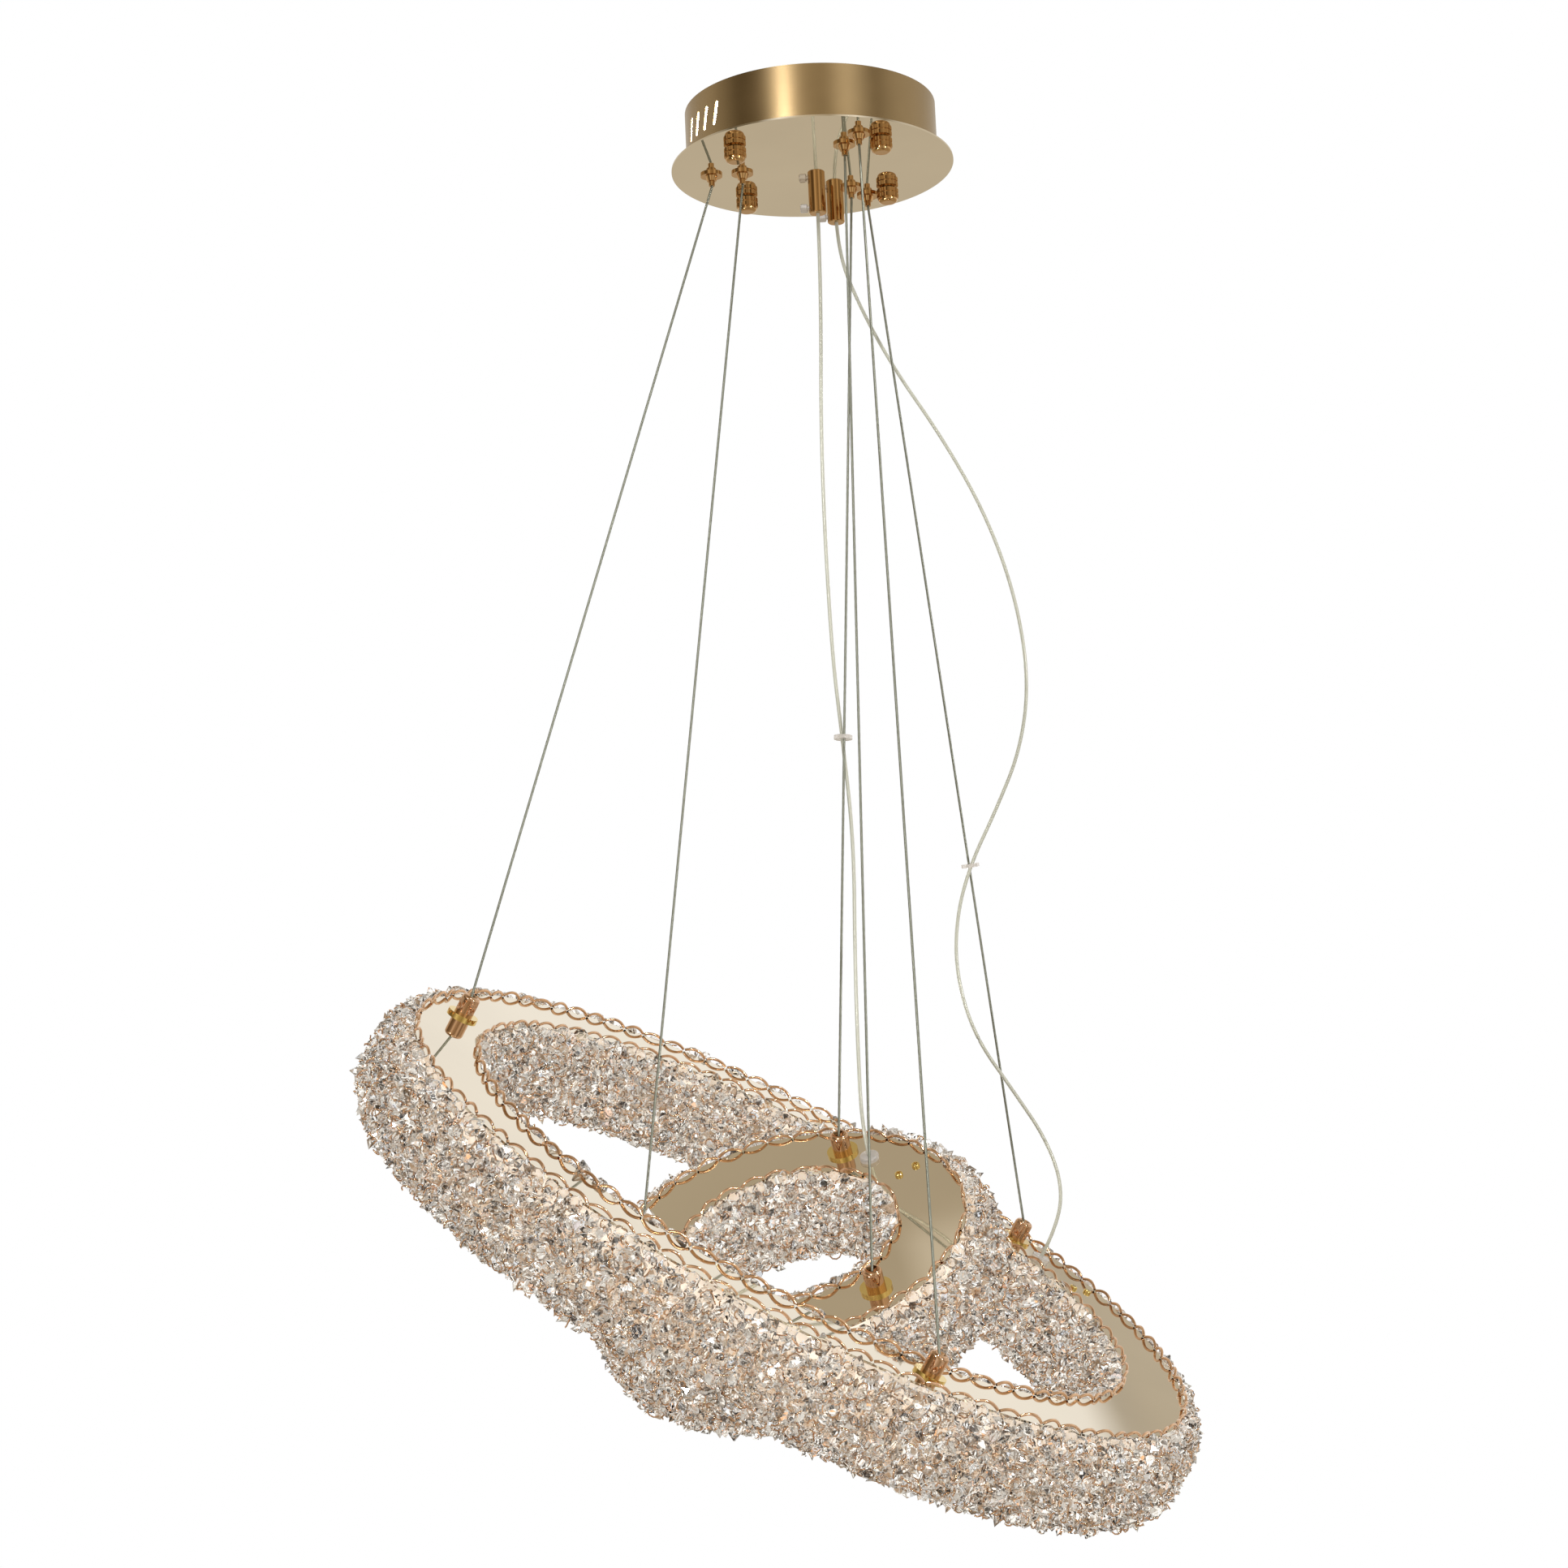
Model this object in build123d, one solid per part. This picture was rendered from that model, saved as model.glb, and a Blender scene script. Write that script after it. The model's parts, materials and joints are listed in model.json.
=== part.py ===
from build123d import *
import math
import os

# Crystal chandelier: a round ceiling canopy that hangs two tilted crystal rings, one
# inside the other, on three steel wires each. Millimetres, +Z up. The origin is the
# middle of the face that meets the ceiling.

# Canopy
DRUM_DIA = 178.0
DRUM_WALL = 1.2
DRUM_TOP = 1.5
CANOPY_DEPTH = 43.0
PLATE_DIA = 200.0
PLATE_THICK = 1.2
VENT_COUNT = 4
VENT_PITCH = 7.5
VENT_LENGTH = 17.0
VENT_WIDTH = 2.6
VENT_LEAN = 15.0
VENT_CENTRE_ANGLE = 214.0
CEILING_HOLE_DIA = 5.2
CEILING_HOLE_PCD = 120.0
MAINS_HOLE_DIA = 22.0

# Studs and knurled cap nuts that hold the cover plate
STUD_DIA = 4.0
STUD_PCD = 144.0
STUD_COUNT = 4
NUT_DIA = 15.5
NUT_HEIGHT = 10.8
NUT_NECK_DIA = 11.0
NUT_NECK = 0.8
NUT_BELT = 2.8
NUT_BELT_SPACE = 0.9
NUT_BELT_RISE = 0.8
NUT_FLUTES = 24
NUT_FLUTE_DEPTH = 0.5
NUT_ROUND = 2.6
NUT_END = 4.0
NUT_GAP = 0.3

# Wires and the bushes that let them out of the canopy
WIRE_DIA = 1.8
WIRE_CLEAR = 0.3
WIRE_ANGLES = {"left": 180.0, "front": 300.0, "back": 60.0}
WIRE_RADIUS = {"outer": 72.0, "inner": 50.0}
BUSH_FLANGE_DIA = 15.5
BUSH_FLANGE = 1.4
BUSH_HUB_DIA = 9.0
BUSH_CONE_DIA = 6.6
BUSH_CONE = 3.4
BUSH_SHANK_DIA = 8.0
BUSH_SHANK = 15.0
TIP_DIA = 4.2
TIP_CLEAR = 0.06
TIP_SHOWS = 3.6
TIP_INSIDE = 9.0
TIP_TRAVEL = 2.0
LOCK_NUT_SIZE = 13.0
LOCK_NUT = 4.0

# Cord glands with clear thumb screws
GLAND_DIA = 12.5
GLAND_LENGTH = 16.0
GLAND_CHAMFER = 0.6
GLAND_PLACES = {"inner": (0.0, 50.0), "outer": (12.0, 72.0)}
THUMB_DIA = 3.0
THUMB_CLEAR = 0.05
THUMB_HEAD_DIA = 6.5
THUMB_HEAD = 5.5
THUMB_DROP = 11.5

# Parts shut in the canopy
DRIVER_SIZE = (92.0, 28.0, 22.0)
DRIVER_Y = 27.0
TERMINAL_SIZE = (34.0, 16.0, 14.0)
TERMINAL_Y = -40.0
TERMINAL_HOLES = 3
TERMINAL_HOLE_DIA = 4.0
TERMINAL_HOLE_DEPTH = 6.0
LEAD_BEND = 6.0

# Power cords and the clips that tie them to a wire
CORD_DIA = 2.6
CORD_CLEAR = 0.3
CLIP_DIA = 13.0
CLIP_THICK = 2.6

# Rings: centre of the top plate's upper face, tilt from level, compass of the tilt
RINGS = {
    "outer": {
        "centre": (-39.0, -5.0, -774.5), "tilt": 35.0, "azimuth": -27.1,
        "radius": 288.0, "posts": {"left": 172.2, "front": -67.8, "back": 52.2},
        "grommet": 45.5, "grommet_shift": -5.75, "screws": 36.2, "beads": 84,
    },
    "inner": {
        "centre": (-49.3, -14.6, -795.7), "tilt": 38.8, "azimuth": -103.0,
        "radius": 121.5, "posts": {"left": -171.6, "front": -51.6, "back": 68.4},
        "grommet": 54.5, "grommet_shift": -3.25, "screws": 34.0, "beads": 38,
    },
}
BAND_WIDTH = 46.5
BAND_THICK = 1.5
CHANNEL_WIDTH = 26.0
CHANNEL_DEPTH = 36.0
CHANNEL_WALL = 1.2
STRIP_WIDTH = 12.0
STRIP_THICK = 1.2
STRIP_DROP = 10.0
COVER_GAP = 1.0
COVER_WALL = 1.5

# Crystal garland round each ring's section
GARLAND_ROWS = 10
GARLAND_INSET = 1.5
GARLAND_BULGE = 20.0
GARLAND_DEPTH = 68.0
GARLAND_LIP = 8.0
GARLAND_GROOVE = 6.5
GARLAND_SHOULDER = 18.0
GARLAND_LIP_BEND = 24.0
GARLAND_BEND = 24.0
BACK_GAP = 0.8

# Posts that take the wires on a ring, and small fittings of the top plate
POST_DIA = 13.0
POST_HEIGHT = 13.5
POST_ROUND = 2.6
POST_MOUTH_DIA = 8.0
POST_MOUTH = 4.5
POST_BORE = 10.0
POST_SHANK_DIA = 6.0
POST_SHANK = 9.0
POST_NUT_SIZE = 10.0
POST_NUT = 4.0
WASHER_DIA = 21.5
WASHER_THICK = 2.0
GROMMET_DIA = 13.5
GROMMET_HEIGHT = 3.4
GROMMET_NECK_DIA = 8.0
SCREW_DIA = 3.0
SCREW_HEAD_DIA = 5.6
SCREW_HEAD = 2.0
SCREW_SPACING = 14.0
SCREW_CROSS = (3.4, 0.7, 0.9)
SCREW_LENGTH = 6.0
TAB_SIZE = (22.0, 9.0, 3.0)
HOLE_CLEAR = 0.1

# Routes of the two cords: from the gland to the clip, and on to above the grommet
CORD_ENTRY = 25.0
CORD_ROUTE = {
    "inner": {
        "above": [(0.0, 50.0, -50.0), (0.0, 50.0, -110.0), (-6.0, 49.0, -240.0),
                  (-5.0, 48.4, -380.0)],
        "clip": (-0.2, 48.0, -446.0),
        "below": [(4.6, 45.0, -520.0), (2.0, 38.0, -600.0), (1.4, 27.4, -668.0)],
    },
    "outer": {
        "above": [(12.0, 72.0, -50.0), (12.0, 72.0, -80.0), (24.0, 84.0, -116.0),
                  (47.0, 93.0, -164.0), (80.0, 105.0, -216.0), (108.5, 118.0, -272.0),
                  (127.0, 128.0, -333.0), (133.0, 138.0, -393.0), (124.0, 147.0, -442.0),
                  (103.5, 153.0, -485.0)],
        "clip": (83.0, 156.8, -523.0),
        "below": [(71.0, 162.0, -560.0), (68.5, 167.0, -600.0), (79.0, 173.0, -645.0),
                  (105.0, 178.0, -686.0), (127.0, 182.0, -722.0), (137.0, 187.6, -757.0)],
    },
}

os.makedirs("parts", exist_ok=True)
PLATE_UNDER = -CANOPY_DEPTH
PLATE_OVER = PLATE_UNDER + PLATE_THICK


def save(shape, node):
    shape.label = node
    export_step(shape, f"parts/{node}.step")
    print(node, round(shape.volume, 1), len(shape.solids()))


def rod(dia, low, high, x=0.0, y=0.0):
    """An upright round bar from height low to height high."""
    bar = Cylinder(dia / 2, high - low, align=(Align.CENTER, Align.CENTER, Align.MIN))
    return Pos(x, y, low) * bar


def cone(low_dia, high_dia, low, high):
    """A round taper from height low to height high."""
    taper = Cone(low_dia / 2, high_dia / 2, high - low,
                 align=(Align.CENTER, Align.CENTER, Align.MIN))
    return Pos(0, 0, low) * taper


def polar(radius, angle):
    turn = math.radians(angle)
    return (radius * math.cos(turn), radius * math.sin(turn))


def hexagon(size, low, high, bore):
    """A plain hexagon nut, size across its flats."""
    block = extrude(RegularPolygon(size / math.sqrt(3), 6), high - low)
    return Pos(0, 0, low) * block - rod(bore, low - 1, high + 1)


def group(solids):
    return Compound(children=list(solids))


def ring_plane(ring):
    """The plane of a ring's top plate: x along the room's x, z along the tilted axis."""
    tilt = math.radians(ring["tilt"])
    compass = math.radians(ring["azimuth"])
    axis = (math.sin(tilt) * math.cos(compass), math.sin(tilt) * math.sin(compass),
            math.cos(tilt))
    return Plane(origin=ring["centre"], x_dir=(1, 0, 0), z_dir=axis)


def tube(points, dia, radii):
    """A round tube along straight runs joined by tangent arcs."""
    path = FilletPolyline(*points, radius=radii) if len(points) > 2 else Line(*points)
    start = Plane(origin=path @ 0, z_dir=path % 0)
    return sweep(start * Circle(dia / 2), path=path), path


def corner_radii(points):
    """The widest arc at each corner that leaves a straight stretch on either side."""
    radii = []
    for before, here, after in zip(points, points[1:], points[2:]):
        came, goes = Vector(*here) - Vector(*before), Vector(*after) - Vector(*here)
        half = math.radians(came.get_angle(goes)) / 2
        radii.append(0.45 * min(came.length, goes.length) / math.tan(half))
    return radii


# Canopy drum: cup with slanted vents on two sides and holes for the ceiling screws
drum = rod(DRUM_DIA, PLATE_OVER, 0) - rod(DRUM_DIA - 2 * DRUM_WALL, PLATE_OVER - 1, -DRUM_TOP)
drum -= rod(MAINS_HOLE_DIA, -DRUM_TOP - 1, 1)
for hole in PolarLocations(CEILING_HOLE_PCD / 2, 4):
    drum -= hole * rod(CEILING_HOLE_DIA, -DRUM_TOP - 1, 1)
slot = extrude(SlotOverall(VENT_LENGTH, VENT_WIDTH, rotation=90 - VENT_LEAN), 12, both=True)
vent = Pos(DRUM_DIA / 2, 0, -CANOPY_DEPTH / 2) * Rot(0, 90, 0) * Rot(0, 0, 90) * slot
for side in (VENT_CENTRE_ANGLE, VENT_CENTRE_ANGLE + 180):
    for k in range(VENT_COUNT):
        drum -= Rot(0, 0, side + (k - (VENT_COUNT - 1) / 2) * VENT_PITCH) * vent
save(drum, "canopy_drum")

# Mirror plate with holes for studs, bushes and glands
plate = rod(PLATE_DIA, PLATE_UNDER, PLATE_OVER)
stud_places = list(PolarLocations(STUD_PCD / 2, STUD_COUNT, 45))
for place in stud_places:
    plate -= place * rod(STUD_DIA + 2 * HOLE_CLEAR, PLATE_UNDER - 1, PLATE_OVER + 1)
bush_places = {
    (ring, side): polar(radius, angle)
    for ring, radius in WIRE_RADIUS.items()
    for side, angle in WIRE_ANGLES.items()
}
shank_holes = list(bush_places.values()) + list(GLAND_PLACES.values())
for x, y in shank_holes:
    plate -= rod(BUSH_SHANK_DIA + 2 * HOLE_CLEAR, PLATE_UNDER - 1, PLATE_OVER + 1, x, y)
save(plate, "canopy_plate")

# Studs from the drum's top to inside the cap nuts
stud_end = PLATE_UNDER - NUT_GAP - NUT_HEIGHT + NUT_END
save(group([Pos(p.position.X, p.position.Y) * rod(STUD_DIA, stud_end, -DRUM_TOP)
            for p in stud_places]), "canopy_studs")

# Knurled cap nut: neck, two fluted belts, rounded end, bored for its stud
nut_top = PLATE_UNDER - NUT_GAP
nut_low = nut_top - NUT_HEIGHT
belt_top = nut_top - NUT_NECK
flute_points = [
    polar(NUT_DIA / 2 - (k % 2) * NUT_FLUTE_DEPTH, 180.0 * k / NUT_FLUTES)
    for k in range(2 * NUT_FLUTES)
]
belt = extrude(make_face(Polyline(*flute_points, close=True)), NUT_BELT)
core = rod(NUT_DIA - 2 * NUT_BELT_RISE, nut_low, belt_top)
cap_nut = fillet(core.edges().group_by(Axis.Z)[0], NUT_ROUND)
cap_nut += rod(NUT_NECK_DIA, belt_top, nut_top)
for drop in (NUT_BELT, 2 * NUT_BELT + NUT_BELT_SPACE):
    cap_nut += Pos(0, 0, belt_top - drop) * belt
cap_nut -= rod(STUD_DIA + 2 * TIP_CLEAR, stud_end - 0.5, nut_top + 1)
for number, place in enumerate(stud_places, 1):
    save(Pos(place.position.X, place.position.Y) * cap_nut, f"cap_nut_{number}")

# Bush: flange and cone under the plate, threaded shank above it, stepped bore
cone_top = PLATE_UNDER - BUSH_FLANGE
cone_low = cone_top - BUSH_CONE
shank_top = PLATE_OVER + BUSH_SHANK
tip_low = cone_low - TIP_SHOWS
tip_top = cone_low + TIP_INSIDE
bush = rod(BUSH_FLANGE_DIA, cone_top, PLATE_UNDER)
bush += cone(BUSH_CONE_DIA, BUSH_HUB_DIA, cone_low, cone_top)
bush += rod(BUSH_SHANK_DIA, PLATE_UNDER, shank_top)
bush -= rod(TIP_DIA + 2 * TIP_CLEAR, cone_low - 1, tip_top + TIP_TRAVEL + 0.5)
bush -= rod(WIRE_DIA + 2 * WIRE_CLEAR, cone_low, shank_top + 1)
save(group([Pos(x, y) * bush for x, y in bush_places.values()]), "wire_bushes")
lock_nut = hexagon(LOCK_NUT_SIZE, PLATE_OVER, PLATE_OVER + LOCK_NUT, BUSH_SHANK_DIA + 2 * HOLE_CLEAR)
save(group([Pos(x, y) * lock_nut for x, y in bush_places.values()]), "bush_lock_nuts")
tip = rod(TIP_DIA, tip_low, tip_top)
tip -= rod(WIRE_DIA + 2 * WIRE_CLEAR, tip_low - 1, tip_top + 1)
for (ring, side), (x, y) in bush_places.items():
    save(Pos(x, y) * tip, f"release_tip_{ring}_{side}")

# Cord glands with a radial thumb screw, and their lock nuts
gland_low = PLATE_UNDER - GLAND_LENGTH
thumb_z = PLATE_UNDER - THUMB_DROP
gland = chamfer(rod(GLAND_DIA, gland_low, PLATE_UNDER).edges().group_by(Axis.Z)[0], GLAND_CHAMFER)
gland += rod(BUSH_SHANK_DIA, PLATE_UNDER, PLATE_OVER + LOCK_NUT + 2)
gland -= rod(CORD_DIA + 2 * CORD_CLEAR, gland_low - 1, PLATE_OVER + LOCK_NUT + 3)
across = Pos(0, 0, thumb_z) * Rot(0, -90, 0)
gland -= across * rod(THUMB_DIA + 2 * THUMB_CLEAR, 0, GLAND_DIA)
save(group([Pos(x, y) * gland for x, y in GLAND_PLACES.values()]), "cord_glands")
save(group([Pos(x, y) * lock_nut for x, y in GLAND_PLACES.values()]), "gland_lock_nuts")
thumb = rod(THUMB_DIA, CORD_DIA / 2 + CORD_CLEAR + 0.3, GLAND_DIA / 2 + 1)
head_low = GLAND_DIA / 2 + 0.8
thumb += chamfer(rod(THUMB_HEAD_DIA, head_low, head_low + THUMB_HEAD).edges(), 0.8)
for ring, (x, y) in GLAND_PLACES.items():
    save(Pos(x, y) * across * thumb, f"thumb_screw_{ring}")

# Driver, terminal block and the leads between driver and glands
driver_low = -DRUM_TOP - DRIVER_SIZE[2]
driver = Pos(0, DRIVER_Y, (driver_low - DRUM_TOP) / 2) * Box(*DRIVER_SIZE)
save(fillet(driver.edges().filter_by(Axis.Z), 3), "led_driver")
terminal = Pos(0, TERMINAL_Y, -DRUM_TOP - TERMINAL_SIZE[2] / 2) * Box(*TERMINAL_SIZE)
terminal_low = -DRUM_TOP - TERMINAL_SIZE[2]
entry = rod(TERMINAL_HOLE_DIA, terminal_low - 1, terminal_low + TERMINAL_HOLE_DEPTH)
for step in GridLocations(TERMINAL_SIZE[0] / TERMINAL_HOLES, 1, TERMINAL_HOLES, 1):
    terminal -= Pos(0, TERMINAL_Y) * step * entry
save(terminal, "terminal_block")
lead_z = -DRUM_TOP - DRIVER_SIZE[2] / 2
driver_side = DRIVER_Y + DRIVER_SIZE[1] / 2
leads = []
for x, y in GLAND_PLACES.values():
    knee = [(x, y, PLATE_OVER + LOCK_NUT + 2), (x, y, lead_z), (x, driver_side, lead_z)]
    leads.append(tube(knee, CORD_DIA, [LEAD_BEND])[0])
save(group(leads), "driver_leads")


def garland(radius, beads):
    """Quilt of six-sided crystal points wound round a ring's section, as one closed skin.

    The row lines follow a rounded U, and the crystals of neighbouring rows are staggered.
    """
    middle, half = radius - BAND_WIDTH / 2, BAND_WIDTH / 2
    back_half = half - GARLAND_INSET
    back_low = -BAND_THICK - CHANNEL_DEPTH - COVER_GAP - COVER_WALL - BACK_GAP
    steps = 2 * beads

    def profile(grow):
        """Rounded U from the outer lip under the section to the inner lip."""
        lip, side = half + GARLAND_LIP, half + GARLAND_BULGE - GARLAND_GROOVE + grow
        low = grow - GARLAND_GROOVE + GARLAND_DEPTH
        outer = [(lip, -BAND_THICK), (side, -GARLAND_SHOULDER), (side, -low)]
        inner = [(-x, y) for x, y in reversed(outer)]
        bends = [GARLAND_LIP_BEND, GARLAND_BEND, GARLAND_BEND, GARLAND_LIP_BEND]
        return FilletPolyline(*outer, *inner, radius=bends)

    grooves, points = profile(0), profile(GARLAND_GROOVE)

    def section(line, share):
        """Place on a profile, share 0 to 1 of its length."""
        at = line.position_at(share * line.length, position_mode=PositionMode.LENGTH)
        return at.X, at.Y

    def spot(across, drop, k):
        x, y = polar(middle + across, 360.0 * k / steps)
        return Vector(x, y, drop)

    faces = []

    def facet(*corners):
        faces.append(Face(Wire.make_polygon(corners)))

    lines = [
        [spot(*section(grooves, row / GARLAND_ROWS), k) for k in range(steps)]
        for row in range(GARLAND_ROWS + 1)
    ]
    for row in range(GARLAND_ROWS):
        above, below = lines[row], lines[row + 1]
        for bead in range(beads):
            k = 2 * bead + row % 2
            crown = spot(*section(points, (row + 0.5) / GARLAND_ROWS), k)
            side = [above[(k + n) % steps] for n in (-1, 0, 1)]
            side += [below[(k + n) % steps] for n in (1, 0, -1)]
            for a, b in zip(side, side[1:] + side[:1]):
                facet(crown, a, b)
    back = [(back_half, -BAND_THICK), (back_half, back_low),
            (-back_half, back_low), (-back_half, -BAND_THICK)]
    inside = [[spot(*point, k) for k in range(steps)] for point in back]
    strips = [lines[0], *inside, lines[-1]]
    for one, two in zip(strips, strips[1:]):
        for k in range(steps):
            n = (k + 1) % steps
            facet(one[k], one[n], two[n], two[k])
    return Solid(Shell(faces))


def hoop(middle, across, low, high):
    """A flat-sided hoop: section from across[0] to across[1] off the middle radius."""
    outer, inner = middle + across[1], middle + across[0]
    return rod(2 * outer, low, high) - rod(2 * inner, low - 1, high + 1)


def trough(middle, half, depth, wall):
    """A round U trough hung under the top plate, open upward."""
    under = -BAND_THICK
    body = hoop(middle, (-half, half), under - depth, under)
    return body - hoop(middle, (wall - half, half - wall), under - depth + wall, under + 1)


def post():
    """Post for a wire: rounded barrel with a flared mouth, and a shank through the plate."""
    top = WASHER_THICK + POST_HEIGHT
    barrel = rod(POST_DIA, WASHER_THICK, top)
    barrel = fillet(barrel.edges().group_by(Axis.Z)[-1], POST_ROUND)
    barrel += rod(POST_SHANK_DIA, -POST_SHANK, WASHER_THICK)
    bore = WIRE_DIA + 2 * WIRE_CLEAR
    barrel -= rod(bore, top - POST_BORE, top + 1)
    return barrel - cone(bore, POST_MOUTH_DIA, top - POST_MOUTH, top)


post_places = {}
eyes = {}
for name, ring in RINGS.items():
    frame = ring_plane(ring).location
    middle = ring["radius"] - BAND_WIDTH / 2
    half = BAND_WIDTH / 2
    posts = {side: polar(middle, angle) for side, angle in ring["posts"].items()}
    eye = polar(middle + ring["grommet_shift"], ring["grommet"])
    tab = Rot(0, 0, ring["screws"]) * Pos(middle, 0)
    screws = list(GridLocations(SCREW_SPACING, 1, 2, 1))

    band = hoop(middle, (-half, half), -BAND_THICK, 0)
    for x, y in posts.values():
        band -= rod(POST_SHANK_DIA + 2 * HOLE_CLEAR, -BAND_THICK - 1, 1, x, y)
    band -= rod(GROMMET_NECK_DIA + 2 * HOLE_CLEAR, -BAND_THICK - 1, 1, *eye)
    for place in screws:
        band -= tab * place * rod(SCREW_DIA + 2 * HOLE_CLEAR, -BAND_THICK - 1, 1)
    save(frame * band, f"{name}_top_plate")

    save(frame * trough(middle, CHANNEL_WIDTH / 2, CHANNEL_DEPTH, CHANNEL_WALL),
         f"{name}_light_channel")
    strip_top = -BAND_THICK - STRIP_DROP
    wall = CHANNEL_WIDTH / 2
    strips = [
        hoop(middle, across, strip_top - STRIP_WIDTH, strip_top)
        for across in ((wall, wall + STRIP_THICK), (-wall - STRIP_THICK, -wall))
    ]
    save(frame * group(strips), f"{name}_led_strips")
    cover_half = wall + STRIP_THICK + COVER_GAP + COVER_WALL
    cover_depth = CHANNEL_DEPTH + COVER_GAP + COVER_WALL
    save(frame * trough(middle, cover_half, cover_depth, COVER_WALL), f"{name}_diffuser")
    save(frame * garland(ring["radius"], ring["beads"]), f"{name}_crystal_garland")

    washer = rod(WASHER_DIA, 0, WASHER_THICK) - rod(POST_SHANK_DIA + 2 * HOLE_CLEAR, -1, 3)
    nut = hexagon(POST_NUT_SIZE, -BAND_THICK - POST_NUT, -BAND_THICK,
                  POST_SHANK_DIA + 2 * HOLE_CLEAR)
    spots = [Pos(x, y) for x, y in posts.values()]
    save(frame * group([spot * post() for spot in spots]), f"{name}_wire_posts")
    save(frame * group([spot * washer for spot in spots]), f"{name}_post_washers")
    save(frame * group([spot * nut for spot in spots]), f"{name}_post_nuts")
    post_places[name] = posts
    eyes[name] = eye

    grommet = fillet(rod(GROMMET_DIA, 0, GROMMET_HEIGHT).edges().group_by(Axis.Z)[-1], 1.2)
    grommet += rod(GROMMET_NECK_DIA, -BAND_THICK - 2, 0)
    grommet -= rod(CORD_DIA + 2 * CORD_CLEAR, -BAND_THICK - 3, GROMMET_HEIGHT + 1)
    save(frame * Pos(*eye) * grommet, f"{name}_cord_grommet")
    screw = fillet(rod(SCREW_HEAD_DIA, 0, SCREW_HEAD).edges().group_by(Axis.Z)[-1], 0.9)
    screw += rod(SCREW_DIA, -SCREW_LENGTH, 0)
    long, wide, deep = SCREW_CROSS
    for turn in (0, 90):
        screw -= Pos(0, 0, SCREW_HEAD) * Rot(0, 0, turn) * Box(long, wide, 2 * deep)
    save(frame * group([tab * place * screw for place in screws]), f"{name}_plate_screws")
    strap = tab * Pos(0, 0, -BAND_THICK - TAB_SIZE[2] / 2) * Box(*TAB_SIZE)
    for place in screws:
        strap -= tab * place * rod(SCREW_DIA + 2 * HOLE_CLEAR, -SCREW_LENGTH - 3, 0)
    save(frame * strap, f"{name}_screw_tab")

# Suspension wires: plumb in the bush, straight to the post's mouth, then down its bore
wire_line = {}
for (ring, side), (x, y) in bush_places.items():
    frame = ring_plane(RINGS[ring])
    px, py = post_places[ring][side]
    top = WASHER_THICK + POST_HEIGHT
    mouth = frame.from_local_coords(Vector(px, py, top - 1.6))
    seat = frame.from_local_coords(Vector(px, py, top - POST_BORE + 0.4))
    leave = Vector(x, y, tip_low - 0.6)
    route = [(x, y, shank_top + 4), tuple(leave), tuple(mouth), tuple(seat)]
    wire, path = tube(route, WIRE_DIA, [5.0, 3.2])
    wire_line[ring, side] = (leave, mouth)
    save(wire, f"suspension_wire_{ring}_{side}")

# Power cords, and clear clips that hold each cord beside its ring's rear wire
for ring, points in CORD_ROUTE.items():
    end = ring_plane(RINGS[ring])
    entry = [tuple(end.from_local_coords(Vector(*eyes[ring], h))) for h in (CORD_ENTRY, 1.0)]
    route = [*points["above"], points["clip"], *points["below"], *entry]
    radii = corner_radii(route)
    cord, path = tube(route, CORD_DIA, radii)
    print("cord", ring, "length", round(path.length), "radii", [round(r) for r in radii])
    print("volume share", round(cord.volume / (math.pi / 4 * CORD_DIA**2 * path.length), 4))
    save(cord, f"power_cord_{ring}")

    leave, mouth = wire_line[ring, "back"]
    along = (mouth - leave).normalized()
    share = min((k / 800 for k in range(801)),
                key=lambda s: (path @ s - Vector(*points["clip"])).length)
    held = path @ share
    beside = leave + along * ((held - leave).dot(along))
    across = held - beside
    disc = Plane(origin=beside + across * 0.5, x_dir=across, z_dir=along)
    clip = disc * rod(CLIP_DIA, -CLIP_THICK / 2, CLIP_THICK / 2)
    for place, way, dia in ((beside, along, WIRE_DIA + 2 * WIRE_CLEAR),
                            (held, path % share, CORD_DIA + 2 * CORD_CLEAR)):
        clip -= Plane(origin=place, z_dir=way) * rod(dia, -CLIP_DIA, CLIP_DIA)
    save(clip, f"cord_clip_{ring}")
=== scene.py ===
# %% [markdown]
# A crystal chandelier: a round gold canopy with a mirror plate, and two tilted rings hung
# from it on steel wires. Each ring is a mirror-gold band wrapped in strung cut crystals,
# edged with little loops of rose-gold wire. This first cell loads the solids that the
# rest of the scene is fitted to.

# %% Frame
import json
import math
import bpy
import numpy as np
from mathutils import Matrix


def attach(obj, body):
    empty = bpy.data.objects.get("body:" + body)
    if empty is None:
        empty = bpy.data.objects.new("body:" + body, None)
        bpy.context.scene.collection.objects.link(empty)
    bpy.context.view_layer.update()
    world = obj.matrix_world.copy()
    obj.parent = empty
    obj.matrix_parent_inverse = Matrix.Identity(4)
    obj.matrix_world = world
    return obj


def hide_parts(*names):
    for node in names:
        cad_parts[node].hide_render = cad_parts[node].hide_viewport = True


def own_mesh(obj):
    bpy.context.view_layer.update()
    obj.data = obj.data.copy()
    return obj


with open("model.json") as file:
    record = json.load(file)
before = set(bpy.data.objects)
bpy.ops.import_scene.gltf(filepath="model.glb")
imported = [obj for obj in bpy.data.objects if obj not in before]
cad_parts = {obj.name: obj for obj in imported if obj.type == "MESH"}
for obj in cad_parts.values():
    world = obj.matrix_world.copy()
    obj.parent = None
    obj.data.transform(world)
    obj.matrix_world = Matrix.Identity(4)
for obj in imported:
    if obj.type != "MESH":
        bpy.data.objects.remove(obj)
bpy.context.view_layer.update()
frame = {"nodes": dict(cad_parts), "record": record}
nodes = frame["nodes"]
rng = np.random.default_rng(7)

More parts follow.
